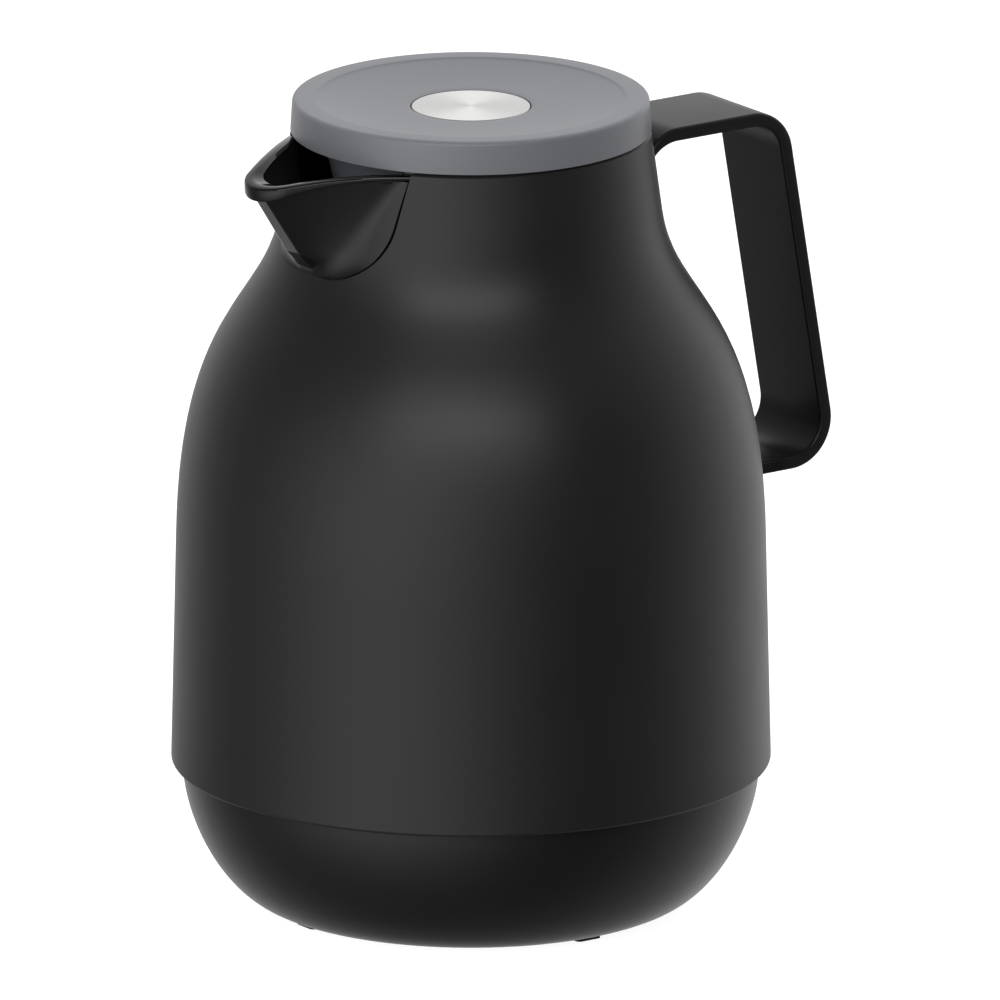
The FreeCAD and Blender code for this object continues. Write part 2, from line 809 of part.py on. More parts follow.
def make_button_core():
    """Plastic body of the button: its flange stops it under the guide tube, and its boss holds the rod."""
    low = dish_z - core_depth - core_flange_t
    flange_z = dish_z - guide_length - loose
    return turned_polygon(
        rz(core_boss_r, core_z),
        rz(core_boss_r, core_z - core_boss_length),
        rz(rod_r, core_z - core_boss_length),
        rz(rod_r, core_z),
        rz(0, core_z),
        rz(0, disc_z),
        rz(disc_r, disc_z),
        rz(disc_r, flange_z),
        rz(disc_r + core_flange, flange_z),
        rz(disc_r + core_flange, low),
        rz(disc_r - core_wall, low),
        rz(disc_r - core_wall, core_z),
    )


def make_push_rod():
    """Steel rod from the button to the valve, tapped at its foot."""
    tapped = rod(valve_screw_r + slide_fit, rod_foot_z, rod_foot_z + valve_screw_length + loose)
    return rod(rod_r, rod_foot_z, core_z).cut(tapped)


def make_valve_plug():
    """Dished plug under the valve seat, with a hub for the rod's foot."""
    low = plug_z - plug_t
    hub_top = plug_z + valve_seal_t
    return turned_polygon(
        rz(valve_screw_r + fit, low),
        rz(plug_r, low + plug_t / 2),
        rz(plug_r, plug_z),
        rz(plug_hub_r, plug_z),
        rz(plug_hub_r, hub_top),
        rz(rod_r + slide_fit, hub_top),
        rz(rod_r + slide_fit, rod_foot_z),
        rz(valve_screw_r + fit, rod_foot_z),
    )


def make_valve_seal():
    return tube(plug_r - valve_seal_width, plug_r, plug_z, plug_z + valve_seal_t)


def make_valve_screw():
    """Pan-head screw that holds the plug on the rod."""
    head_z = plug_z - plug_t
    head = rod(valve_screw_head_r, head_z - valve_screw_head_t, head_z)
    return head.fuse(rod(valve_screw_r, head_z - valve_screw_head_t, rod_foot_z + valve_screw_length))


def arc_between(start, way, end):
    """The arc that leaves a point along a direction and ends at another point."""
    chord = end - start
    along = chord * (1 / chord.Length)
    side = (way - along * way.dot(along)).normalize()
    bulge = chord.Length / 2 * math.tan(math.acos(max(-1, min(1, way.dot(along)))) / 2)
    return arc(start, start + chord * 0.5 + side * bulge, end)


def make_return_spring():
    """Compression spring between the stopper's floor and the button, drawn in pairs of arcs."""
    low = spring_floor_z + spring_wire_r + slide_fit
    rise = core_z - slide_fit - spring_wire_r - low
    steps = round(2 * spring_turns)
    angle = 2 * math.pi * spring_turns / steps

    def place(i):
        turn = i * angle
        return V(spring_r * math.cos(turn), spring_r * math.sin(turn), low + rise * i / steps)

    def heading(i):
        turn = i * angle
        climb = rise / (steps * angle)
        return V(-spring_r * math.sin(turn), spring_r * math.cos(turn), climb).normalize()

    edges = []
    for i in range(steps):
        chord = place(i + 1) - place(i)
        sway = heading(i) + heading(i + 1)
        spread = 2 * (1 - heading(i).dot(heading(i + 1)))
        reach = (math.sqrt(chord.dot(sway) ** 2 + spread * chord.dot(chord)) - chord.dot(sway)) / spread
        joint = (place(i) + heading(i) * reach + place(i + 1) - heading(i + 1) * reach) * 0.5
        joint_way = (place(i + 1) - heading(i + 1) * reach - place(i) - heading(i) * reach).normalize()
        edges.append(arc_between(place(i), heading(i), joint))
        edges.append(arc_between(joint, joint_way, place(i + 1)))
    wire = Part.Wire(Part.Circle(place(0), heading(0), spring_wire_r).toShape())
    pitches = [(place(i + 2) - place(i)).Length for i in range(steps - 1)]
    print("spring: least gap between turns", round(min(pitches) - 2 * spring_wire_r, 2), "mm")
    return Part.Wire(edges).makePipeShell([wire], True, False)


nodes = {
    "body_shell": make_body_shell,
    "base_cup": make_base_cup,
    "base_feet": make_base_feet,
    "liner_cushion": make_liner_cushion,
    "outer_flask": make_outer_flask,
    "inner_flask": make_inner_flask,
    "flask_spacers": make_flask_spacers,
    "liner_gasket": make_liner_gasket,
    "pouring_collar": make_pouring_collar,
    "handle": make_handle,
    "handle_screws": make_handle_screws,
    "stopper_seal": make_stopper_seal,
    "stopper_body": make_stopper_body,
    "valve_cage": make_valve_cage,
    "lid_cover": make_lid_cover,
    "rod_seal": make_rod_seal,
    "return_spring": make_return_spring,
    "button_disc": make_button_disc,
    "button_core": make_button_core,
    "push_rod": make_push_rod,
    "valve_plug": make_valve_plug,
    "valve_seal": make_valve_seal,
    "valve_screw": make_valve_screw,
}

os.makedirs("parts", exist_ok=True)
for name, make in nodes.items():
    shape = make()
    solids = shape.Solids
    print(name, len(solids), "solids", [round(s.Volume / 1000, 2) for s in solids], "ml", shape.isValid())
    shape.exportStep("parts/" + name + ".step")
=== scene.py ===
import bpy
import bmesh
import math
from mathutils import Matrix, Vector
from mathutils.geometry import interpolate_bezier


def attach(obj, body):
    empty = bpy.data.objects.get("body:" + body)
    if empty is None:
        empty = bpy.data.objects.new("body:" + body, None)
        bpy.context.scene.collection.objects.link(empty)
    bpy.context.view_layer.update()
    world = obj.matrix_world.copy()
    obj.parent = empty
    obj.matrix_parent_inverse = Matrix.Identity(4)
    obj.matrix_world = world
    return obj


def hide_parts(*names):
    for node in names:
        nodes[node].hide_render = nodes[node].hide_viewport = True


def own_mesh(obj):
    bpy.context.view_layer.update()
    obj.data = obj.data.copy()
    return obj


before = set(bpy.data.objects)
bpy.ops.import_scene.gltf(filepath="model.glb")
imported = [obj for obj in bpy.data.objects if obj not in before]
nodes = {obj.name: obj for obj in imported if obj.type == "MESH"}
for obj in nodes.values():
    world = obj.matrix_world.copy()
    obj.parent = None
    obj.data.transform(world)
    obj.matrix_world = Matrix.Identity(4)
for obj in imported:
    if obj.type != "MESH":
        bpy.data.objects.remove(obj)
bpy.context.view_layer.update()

# Base cup: a deep bowl of black ABS, injection moulded in a polished tool and snapped into the
# shell from below. The tool leaves it smoother than the shell, so its highlights are tighter.
# Its tool grain, like that of every moulding here, is drawn coarser than real so that it shows.
MM = 0.001


def linear(hex_colour):
    """An sRGB hex colour as linear red, green, blue and alpha."""
    channels = [int(hex_colour[i : i + 2], 16) / 255 for i in (0, 2, 4)]
    return [c / 12.92 if c <= 0.04045 else ((c + 0.055) / 1.055) ** 2.4 for c in channels] + [1.0]


def add_node(tree, kind, sockets, **settings):
    """Adds a shader node with its settings, and fills its sockets with values or links."""
    made = tree.nodes.new(kind)
    for name, value in settings.items():
        setattr(made, name, value)
    for name, value in sockets.items():
        if isinstance(value, bpy.types.NodeSocket):
            tree.links.new(value, made.inputs[name])
        else:
            made.inputs[name].default_value = value
    return made


def blank_material(name):
    """A new material with an empty node tree, and that tree."""
    material = bpy.data.materials.new(name)
    material.use_nodes = True
    material.node_tree.nodes.clear()
    return material, material.node_tree


def moulded(name, dark, light, roughness, grain_mm, grain_depth_mm, **more):
    """Moulded plastic or rubber: tool grain, faint flow marks in the colour, an uneven polish."""
    material, tree = blank_material(name)
    flow_mm = 35.0
    flow_low, flow_high = 0.3, 0.7
    uneven = 0.02
    place = add_node(tree, "ShaderNodeTexCoord", {}).outputs["Object"]
    flow_marks = {"Vector": place, "Scale": 1 / (flow_mm * MM), "Detail": 3.0}
    flow = add_node(tree, "ShaderNodeTexNoise", flow_marks).outputs["Fac"]
    tool_marks = {"Vector": place, "Scale": 1 / (grain_mm * MM), "Detail": 2.0}
    grain = add_node(tree, "ShaderNodeTexNoise", tool_marks).outputs["Fac"]
    tones = {"Fac": flow, "Color1": linear(dark), "Color2": linear(light)}
    colour = add_node(tree, "ShaderNodeMixRGB", tones)
    spread = {
        "Value": flow,
        "From Min": flow_low,
        "From Max": flow_high,
        "To Min": roughness - uneven,
        "To Max": roughness + uneven,
    }
    polish = add_node(tree, "ShaderNodeMapRange", spread)
    bump = add_node(tree, "ShaderNodeBump", {"Height": grain, "Distance": grain_depth_mm * MM})
    shader = add_node(
        tree,
        "ShaderNodeBsdfPrincipled",
        {
            "Base Color": colour.outputs["Color"],
            "Roughness": polish.outputs["Result"],
            "Normal": bump.outputs["Normal"],
            **more,
        },
    )
    add_node(tree, "ShaderNodeOutputMaterial", {"Surface": shader.outputs["BSDF"]})
    return material


def dress(name, material):
    """Gives a CAD node its finish."""
    nodes[name].data.materials.clear()
    nodes[name].data.materials.append(material)


base_abs = moulded(
    "Satin black ABS",
    dark="0b0b0b",
    light="0f0f0f",
    roughness=0.32,
    grain_mm=0.6,
    grain_depth_mm=0.002,
    **{"Specular IOR Level": 0.4},
)
dress("base_cup", base_abs)

# Feet: four pads of black nitrile rubber, pressed into pockets in the base's floor. Their faces
# are ground level, so they stay matte.
foot_rubber = moulded(
    "Black nitrile rubber",
    dark="0c0c0c",
    light="141414",
    roughness=0.75,
    grain_mm=0.8,
    grain_depth_mm=0.012,
)
dress("base_feet", foot_rubber)

# Cushion: a ring of dark sponge rubber, cut from sheet and laid in the base. It carries the glass
# flask by its rounded foot and takes the knocks.
cushion_rubber = moulded(
    "Dark sponge rubber",
    dark="1c1c1c",
    light="262626",
    roughness=0.85,
    grain_mm=0.9,
    grain_depth_mm=0.06,
)
dress("liner_cushion", cushion_rubber)

# Flask: two blown walls of borosilicate glass, silvered on the faces towards the vacuum. The
# silver shows through the clear glass as a deep mirror with slow waves from the blowing.


def silvered(name, tint, wave_mm, wave_depth_mm):
    """Mirror silver under a clear layer of blown glass."""
    material, tree = blank_material(name)
    place = add_node(tree, "ShaderNodeTexCoord", {}).outputs["Object"]
    blowing = {"Vector": place, "Scale": 1 / (wave_mm * MM), "Detail": 1.0}
    wave = add_node(tree, "ShaderNodeTexNoise", blowing).outputs["Fac"]
    bump = add_node(tree, "ShaderNodeBump", {"Height": wave, "Distance": wave_depth_mm * MM})
    haze = {"Value": wave, "To Min": 0.03, "To Max": 0.09}
    polish = add_node(tree, "ShaderNodeMapRange", haze)
    shader = add_node(
        tree,
        "ShaderNodeBsdfPrincipled",
        {
            "Base Color": linear(tint),
            "Metallic": 1.0,
            "Roughness": polish.outputs["Result"],
            "Normal": bump.outputs["Normal"],
            "Coat Weight": 1.0,
            "Coat IOR": 1.47,
            "Coat Roughness": 0.02,
        },
    )
    add_node(tree, "ShaderNodeOutputMaterial", {"Surface": shader.outputs["BSDF"]})
    return material


silver_glass = silvered(
    "Silvered borosilicate glass", tint="dfe3e5", wave_mm=18.0, wave_depth_mm=0.15
)
dress("inner_flask", silver_glass)
dress("outer_flask", silver_glass)

# Spacers: three pads of pressed mineral fibre, in a chalky off-white. They are set between the
# two glass walls before the foot is sealed, and keep them apart.
pressed_fibre = moulded(
    "Pressed mineral fibre",
    dark="a8a296",
    light="c8c2b4",
    roughness=0.9,
    grain_mm=0.5,
    grain_depth_mm=0.08,
)
dress("flask_spacers", pressed_fibre)

# Shell: the bell is thick-walled polypropylene, moulded in one piece. Its soft-touch lacquer
# scatters light into broad, cloudy highlights.
lacquer = moulded(
    "Soft-touch black lacquer",
    dark="0e0e0e",
    light="111111",
    roughness=0.42,
    grain_mm=0.45,
    grain_depth_mm=0.004,
)
dress("body_shell", lacquer)

# Handle: one strap of glass-filled nylon, moulded flat-sided with soft edges and screwed on from
# inside the shell. The CAD strap is widened here from 23.6 to 26.6 mm, as the photograph shows it.
strap_nylon = moulded(
    "Satin black nylon",
    dark="0c0c0c",
    light="101010",
    roughness=0.36,
    grain_mm=0.5,
    grain_depth_mm=0.003,
    **{"Specular IOR Level": 0.35},
)


def finished(name, piece, sharp_degrees, material):
    """Turns a bmesh into a shown object with clean normals and one material."""
    weld_mm = 0.002
    bmesh.ops.remove_doubles(piece, verts=piece.verts, dist=weld_mm * MM)
    bmesh.ops.recalc_face_normals(piece, faces=piece.faces)
    mesh = bpy.data.meshes.new(name)
    piece.to_mesh(mesh)
    piece.free()
    mesh.shade_smooth()
    mesh.set_sharp_from_angle(angle=math.radians(sharp_degrees))
    mesh.materials.append(material)
    shown = bpy.data.objects.new(name, mesh)
    bpy.context.scene.collection.objects.link(shown)
    return shown


strap_widening = 1.125
grip_inside_x = 95.0
root_fade = 10.0
strap = bmesh.new()
strap.from_mesh(nodes["handle"].data)
bmesh.ops.scale(strap, vec=(1.0, strap_widening, 1.0), verts=strap.verts)
for vert in strap.verts:
    # Near the shell a point keeps its distance from the axis, so the widened roots stay flush.
    hold = min(max((grip_inside_x - vert.co.x / MM) / root_fade, 0.0), 1.0)
    gain = vert.co.y**2 * (1 - 1 / strap_widening**2)
    vert.co.x -= hold * (vert.co.x - math.sqrt(vert.co.x**2 - gain))
strap_piece = finished("bent_strap", strap, sharp_degrees=35, material=strap_nylon)
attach(strap_piece, "carafe")
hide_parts("handle")

# Handle screws: two zinc-plated steel screws with cold-formed heads. They are driven outwards
# through the shell into the strap's roots before the flask goes in.


def bright_steel(name, dark, light, roughness, streak_mm, stretch):
    """Drawn, turned or ground steel: fine streaks along the work, in tone and polish."""
    material, tree = blank_material(name)
    uneven = 0.06
    place = add_node(tree, "ShaderNodeTexCoord", {}).outputs["Object"]
    turned = add_node(tree, "ShaderNodeMapping", {"Vector": place, "Scale": stretch})
    work = {"Vector": turned.outputs["Vector"], "Scale": 1 / (streak_mm * MM), "Detail": 4.0}
    streak = add_node(tree, "ShaderNodeTexNoise", work).outputs["Fac"]
    tones = {"Fac": streak, "Color1": linear(dark), "Color2": linear(light)}
    colour = add_node(tree, "ShaderNodeMixRGB", tones)
    spread = {"Value": streak, "To Min": roughness - uneven, "To Max": roughness + uneven}
    polish = add_node(tree, "ShaderNodeMapRange", spread)
    shader = add_node(
        tree,
        "ShaderNodeBsdfPrincipled",
        {
            "Base Color": colour.outputs["Color"],
            "Metallic": 1.0,
            "Roughness": polish.outputs["Result"],
        },
    )
    add_node(tree, "ShaderNodeOutputMaterial", {"Surface": shader.outputs["BSDF"]})
    return material


plated_steel = bright_steel(
    "Zinc-plated steel",
    dark="a8acb0",
    light="c4c8cc",
    roughness=0.3,
    streak_mm=0.6,
    stretch=(1.0, 1.0, 1.0),
)
dress("handle_screws", plated_steel)

# Liner gasket: a ring of milky silicone, moulded under pressure. It is clamped between the glass
# lip and the collar, and keeps the drink out of the shell.
silicone = moulded(
    "Milky silicone",
    dark="c9c9c5",
    light="d6d6d2",
    roughness=0.42,
    grain_mm=0.7,
    grain_depth_mm=0.004,
    **{
        "Subsurface Weight": 0.5,
        "Subsurface Radius": (1.0, 1.0, 0.95),
        "Subsurface Scale": 1.5 * MM,
    },
)
dress("liner_gasket", silicone)

# Pouring collar: one gloss black ABS moulding. A funnel with a threaded bore and a ledge sits in
# the neck, and the spout grows out of it through a notch in the shell: a U-shaped apron, two flat
# flanks with a narrow flat keel between them, and a lip that droops towards its tip.
gloss_abs = moulded(
    "Gloss black ABS",
    dark="050505",
    light="070707",
    roughness=0.09,
    grain_mm=0.8,
    grain_depth_mm=0.0004,
    IOR=1.47,
)
neck_rim = Vector((44.9, 0, 197.9))
neck_foot = Vector((47.7, 0, 177.3))
side_top = Vector((73.65, 0, 95.0))
side_pull = Vector((72.31, 0, 153.48))
neck_pull = Vector((51.2, 0, 151.54))
line_points = 200
shoulder_line = interpolate_bezier(side_top, side_pull, neck_pull, neck_foot, line_points)
shoulder_line = shoulder_line + [neck_rim]


def mix(low, high, share):
    """The value a share of the way from low to high."""
    return low + (high - low) * share


def ease(value):
    """A share from 0 to 1 that leaves and arrives gently."""
    share = min(max(value, 0.0), 1.0)
    return share * share * (3 - 2 * share)


def neck_radius(z):
    """Radius of the shell's outside at a height on its neck or shoulder."""
    for low, high in zip(shoulder_line, shoulder_line[1:]):
        if z <= high.z:
            return mix(low.x, high.x, (z - low.z) / (high.z - low.z))
    return neck_rim.x


apron_foot_z = 169.0
apron_half = 25.9
apron_lean = math.tan(math.radians(7.0))
apron_flat = 7.31
apron_corner_r = 17.0
apron_corner_end_z = 183.93


def apron_edge(z):
    """Half the apron's width at a height: a flat foot, round corners and leaning sides."""
    if z < apron_corner_end_z:
        drop = apron_foot_z + apron_corner_r - z
        return apron_flat + math.sqrt(max(apron_corner_r**2 - drop**2, 0.0))
    return apron_half - (neck_rim.z - z) * apron_lean


# Across a row of the spout u runs from -1 to 1. A point is s from the axis towards the tip, y
# sideways and z up. A plan is an outline's back, half width, tip and nose radius.
flat_share = 0.12
nose_share = 0.4


def flank_turn(back, half, tip, nose_r, flat=0.0):
    """Angle between a spout outline's flank and its middle line."""
    run = tip - nose_r - back
    return math.atan2(half - flat, run) - math.asin(nose_r / math.hypot(run, half - flat))


def contour(u, back, half, tip, nose_r, flat=0.0):
    """A point of a spout's outline from above: along one flank, round the nose and back."""
    start = flat_share if flat else 0.0
    if abs(u) < start:
        return tip, flat * u / start
    centre = tip - nose_r
    turn = flank_turn(back, half, tip, nose_r, flat)
    side = math.copysign(1.0, u)
    if abs(u) <= nose_share:
        angle = (abs(u) - start) / (nose_share - start) * (math.pi / 2 - turn)
        return centre + nose_r * math.cos(angle), side * (flat + nose_r * math.sin(angle))
    share = (abs(u) - nose_share) / (1 - nose_share)
    out = mix(centre + nose_r * math.sin(turn), back, share)
    return out, side * mix(flat + nose_r * math.cos(turn), half, share)


def grown(grow, back, half, tip, nose_r):
    """A spout outline moved outwards by a distance."""
    turn = flank_turn(back, half, tip, nose_r)
    return back, half + grow / math.cos(turn), tip + grow, nose_r + grow


keel_foot = 50.5
keel_slope = math.tan(math.radians(33.2))
keel_tuck = 1.4
keel_tuck_share = 0.22
keel_flat_foot = 2.6
keel_flat_top = 1.8
keel_flat_most = 0.45
keel_r_foot = 1.7
keel_r_top = 0.9
keel_r_most = 0.4
root_foot = 11.5
root_top = 24.8
root_bow = 1.25
land_least = 1.1
land_share = 0.78
fillet_foot = 3.0
fillet_top = 0.7
return_depth = 1.5
row_end = 0.99


def beak(u, z):
    """A point of the beak's outside: flank and keel, a fillet, a land along the apron's edge."""
    share = (z - apron_foot_z) / (neck_rim.z - apron_foot_z)
    edge = apron_edge(z)
    root_y = min(mix(root_foot, root_top, max(share, 0.0) ** root_bow), edge - land_least)
    root_s = math.sqrt(neck_radius(z) ** 2 - root_y**2)
    tuck = keel_tuck * (1 - ease(share / keel_tuck_share))
    tip = keel_foot + (z - apron_foot_z) * keel_slope - tuck
    nose_r = min(mix(keel_r_foot, keel_r_top, share), keel_r_most * root_y)
    flat = min(mix(keel_flat_foot, keel_flat_top, share), keel_flat_most * root_y)
    plan = (root_s, root_y, tip, nose_r, flat)
    if abs(u) <= land_share:
        s, y = contour(u / land_share, *plan)
    else:
        y = mix(root_y, edge, (abs(u) - land_share) / (1 - land_share))
        s = root_s - (y - root_y) / math.tan(flank_turn(*plan))
        y = math.copysign(y, u)
    skin = math.sqrt(max(neck_radius(z) ** 2 - y**2, 0.0))
    fillet = mix(fillet_foot, fillet_top, share)
    lead = min(max(0.5 + 0.5 * (s - skin) / fillet, 0.0), 1.0)
    return mix(skin, s, lead) + fillet * lead * (1 - lead), y


# A lip curve is its height at the neck and the radius of its droop.
droop_start = 40.0
lip_top = (197.0, 100.0)
lip_under = (195.9, 62.0)
lip_plan = (36.63, 25.8, 66.6, 10.75)
lip_edge_r = 0.45
lip_edge_soft = 0.3 * lip_edge_r
lip_edge_lift = 0.02
lip_corner = (33.39, 25.8)
channel_top_plan = (35.5, 22.58, 64.1, 8.6)
channel_foot_plan = (35.5, 18.3, 53.0, 4.0)
channel_foot_z = 180.9
cove_r = 1.2
cove_soft = 0.35
floor_dip = 0.1
funnel_foot_r = 39.7


def droop(s, start_z, radius):
    """Height of a lip curve that is level at the neck and droops towards the tip."""
    out = max(s - droop_start, 0.0)
    return start_z - radius + math.sqrt(radius**2 - out**2)


def beak_row(share):
    """One row of the beak's outside, a share of the way from its foot to the lip's underside."""
    first_drop = 3.0
    rounds = 6

    def place(u):
        top = lip_under[0] - first_drop
        for _ in range(rounds):
            top = droop(beak(u, top)[0], *lip_under)
        z = mix(apron_foot_z, top - lip_edge_r / 2, share)
        s, y = beak(u, z)
        if abs(u) > row_end:
            s -= return_depth
        return s, y, z

    return place


def lip_row(grow, plan, curve, lift):
    """One row along a plan outline on a lip curve."""
    wide = grown(grow, *plan)

    def place(u):
        s, y = contour(u, *wide)
        if abs(u) > row_end and plan is channel_top_plan:
            # The lip's two ends fill the notch in the shell back to the collar's ring.
            s, y = lip_corner[0], math.copysign(lip_corner[1], u)
        return s, y, droop(s, *curve) + lift

    return place


def channel_row(share):
    """One row of the pouring channel's wall, a share of the way down to its floor."""

    def place(u):
        top = droop(contour(u, *channel_top_plan)[0], *lip_top) - lip_edge_r
        z = mix(top, channel_foot_z + cove_r, share)
        height = (z - channel_foot_z) / (neck_rim.z - channel_foot_z)
        plan = [mix(a, b, height) for a, b in zip(channel_foot_plan, channel_top_plan)]
        return *contour(u, *plan), z

    return place


def floor_row(grow, share, lift):
    """One row of the channel's floor, a share of the way back to the funnel."""
    plan = grown(grow, *channel_foot_plan)

    def place(u):
        s, y = contour(u, *plan)
        back = math.sqrt(funnel_foot_r**2 - y**2)
        return mix(s, min(back, s), share), y, channel_foot_z + lift

    return place


beak_rows = 48
beak_crowding = 1.35
spout_columns = 120
rows = [
    lambda u: (beak(u, apron_foot_z)[0] - return_depth, beak(u, apron_foot_z)[1], apron_foot_z),
    *[beak_row((i / beak_rows) ** beak_crowding) for i in range(beak_rows + 1)],
    lip_row(-2 * lip_edge_r, lip_plan, lip_under, 0.0),
    lip_row(-lip_edge_r, lip_plan, lip_under, lip_edge_lift),
    lip_row(-lip_edge_soft, lip_plan, lip_under, lip_edge_soft),
    lip_row(0.0, lip_plan, lip_under, lip_edge_r),
    lip_row(0.0, lip_plan, lip_top, -lip_edge_r),
    lip_row(-lip_edge_soft, lip_plan, lip_top, -lip_edge_soft),
    lip_row(-lip_edge_r, lip_plan, lip_top, 0.0),
    lip_row(lip_edge_r, channel_top_plan, lip_top, 0.0),
    lip_row(lip_edge_soft, channel_top_plan, lip_top, -lip_edge_soft),
    *[channel_row(share) for share in (0.0, 0.25, 0.5, 0.75, 1.0)],
    floor_row(-cove_soft, 0.0, cove_soft),
    floor_row(-cove_r, 0.0, 0.0),
    floor_row(-cove_r, 0.5, 0.0),
    floor_row(-cove_r, 1.0, -floor_dip),
]


def spun(outline, rounding, steps):
    """A turned piece: a closed outline of radii and heights, corners rounded, spun round Z."""
    piece = bmesh.new()
    corners = [piece.verts.new((r * MM, 0, z * MM)) for r, z in outline]
    for a, b in zip(corners, corners[1:] + corners[:1]):
        piece.edges.new((a, b))
    bmesh.ops.bevel(
        piece,
        geom=piece.verts[:],
        offset=rounding * MM,
        segments=3,
        profile=0.5,
        affect="VERTICES",
        material=-1,
        clamp_overlap=True,
    )
    bmesh.ops.spin(
        piece,
        geom=piece.verts[:] + piece.edges[:],
        axis=(0, 0, 1),
        cent=(0, 0, 0),
        steps=steps,
        angle=math.tau,
        use_merge=True,
    )
    return piece


thread_lead = 25.0
thread_starts = 3


def add_ridges(piece, root_r, crest_r, low_z, sweep, first):
    """Thread ridges: a tapered strip climbs round the wall, once for each start of the thread."""
    height = 1.7
    taper = 0.45
    steps = 40
    profile = [(root_r, 0.0), (crest_r, taper), (crest_r, height - taper), (root_r, height)]
    climb = thread_lead * MM * sweep / 360 / steps
    for i in range(thread_starts):
        turn = math.radians(first) + math.tau * i / thread_starts
        across, along = math.cos(turn), math.sin(turn)
        strip = []
        for r, z in profile:
            strip.append(piece.verts.new(Vector((r * across, r * along, low_z + z)) * MM))
        face = piece.faces.new(strip)
        bmesh.ops.spin(
            piece,
            geom=strip + face.edges[:] + [face],
            axis=(0, 0, 1),
            cent=(0, 0, 0),
            dvec=(0, 0, climb),
            steps=steps,
            angle=math.radians(sweep),
        )


collar_outline = [
    (31.0, 164.5),
    (34.0, 164.5),
    (34.0, 156.3),
    (36.8, 156.3),
    (36.8, 168.0),
    (42.2, 177.0),
    (42.2, 197.9),
    (40.6, 197.9),
    (39.72, 180.0),
    (33.2, 177.0),
    (33.2, 168.0),
    (31.0, 168.0),
]
collar_turned = spun(collar_outline, rounding=0.25, steps=160)
ring = finished("collar_ring", collar_turned, sharp_degrees=40, material=gloss_abs)
mouth = bmesh.new()
bmesh.ops.create_cube(mouth, size=2.0)
mouth_near_s = 34.0
mouth_far_s = 45.0
mouth_over = 1.0
for corner in mouth.verts:
    height = (corner.co.z + 1) / 2
    plan = [mix(a, b, height) for a, b in zip(channel_foot_plan, channel_top_plan)]
    s = mouth_near_s if corner.co.x > 0 else mouth_far_s
    half = plan[1] - (s - plan[0]) * math.tan(flank_turn(*plan))
    z = mix(channel_foot_z, neck_rim.z + mouth_over, height)
    corner.co = Vector((-s, math.copysign(half, corner.co.y), z)) * MM
cutter = finished("collar_mouth", mouth, sharp_degrees=40, material=gloss_abs)
cut = ring.modifiers.new("mouth", "BOOLEAN")
cut.operation = "DIFFERENCE"
cut.solver = "EXACT"
cut.object = cutter
opened = ring.evaluated_get(bpy.context.evaluated_depsgraph_get()).to_mesh()
collar = bmesh.new()
collar.from_mesh(opened)
for scrap in (ring, cutter):
    bpy.data.objects.remove(scrap)
spout = bmesh.new()
bmesh.ops.create_grid(spout, x_segments=spout_columns, y_segments=len(rows) - 1, size=1.0)
for vert in spout.verts:
    row = rows[round((vert.co.y + 1) / 2 * (len(rows) - 1))]
    s, y, z = row(vert.co.x)
    vert.co = Vector((-s, y, z)) * MM
bmesh.ops.recalc_face_normals(spout, faces=spout.faces)
spout_mesh = bpy.data.meshes.new("spout")
spout.to_mesh(spout_mesh)
spout.free()
collar.from_mesh(spout_mesh)
add_ridges(collar, root_r=33.3, crest_r=32.25, low_z=169.6, sweep=80.0, first=75.0)
collar_piece = finished("gloss_collar", collar, sharp_degrees=42, material=gloss_abs)
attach(collar_piece, "carafe")
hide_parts("pouring_collar")

# Stopper: a tapered cup of smooth grey polypropylene that closes the neck. Silicone rings seal
# its foot against the collar's ledge and its floor round the rod.
smooth_pp = moulded(
    "Smooth grey polypropylene",
    dark="55575c",
    light="5a5c61",
    roughness=0.38,
    grain_mm=0.5,
    grain_depth_mm=0.003,
    IOR=1.49,
)
dress("stopper_body", smooth_pp)
dress("stopper_seal", silicone)
dress("rod_seal", silicone)

# Valve cage: a grey polypropylene ring, moulded with four posts that are welded to the cup's
# floor. Three thread ridges hold it under the collar's, and its foot is the valve's seat.
cage_outline = [
    (31.9, 177.4),
    (31.9, 170.4),
    (28.9, 170.4),
    (28.9, 168.0),
    (29.7, 168.0),
    (29.7, 166.6),
    (17.0, 166.6),
    (17.0, 169.0),
    (26.7, 169.0),
    (30.7, 172.6),
    (30.7, 177.4),
]
post_outline = [(30.7, 177.0), (31.9, 177.0), (32.9, 178.2), (34.1, 185.0), (30.7, 185.0)]
post_degrees = 33.0
cage = spun(cage_outline, rounding=0.2, steps=144)
for middle_degrees in (45.0, 135.0, 225.0, 315.0):
    start = math.radians(middle_degrees - post_degrees / 2)
    side = []
    for r, z in post_outline:
        side.append(cage.verts.new(Vector((r * math.cos(start), r * math.sin(start), z)) * MM))
    cap = cage.faces.new(side)
    bmesh.ops.spin(
        cage,
        geom=side + cap.edges[:] + [cap],
        axis=(0, 0, 1),
        cent=(0, 0, 0),
        steps=10,
        angle=math.radians(post_degrees),
    )
add_ridges(cage, root_r=31.8, crest_r=32.8, low_z=170.6, sweep=70.0, first=0.0)
cage_piece = finished("threaded_cage", cage, sharp_degrees=35, material=smooth_pp)
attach(cage_piece, "lid")
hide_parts("valve_cage")

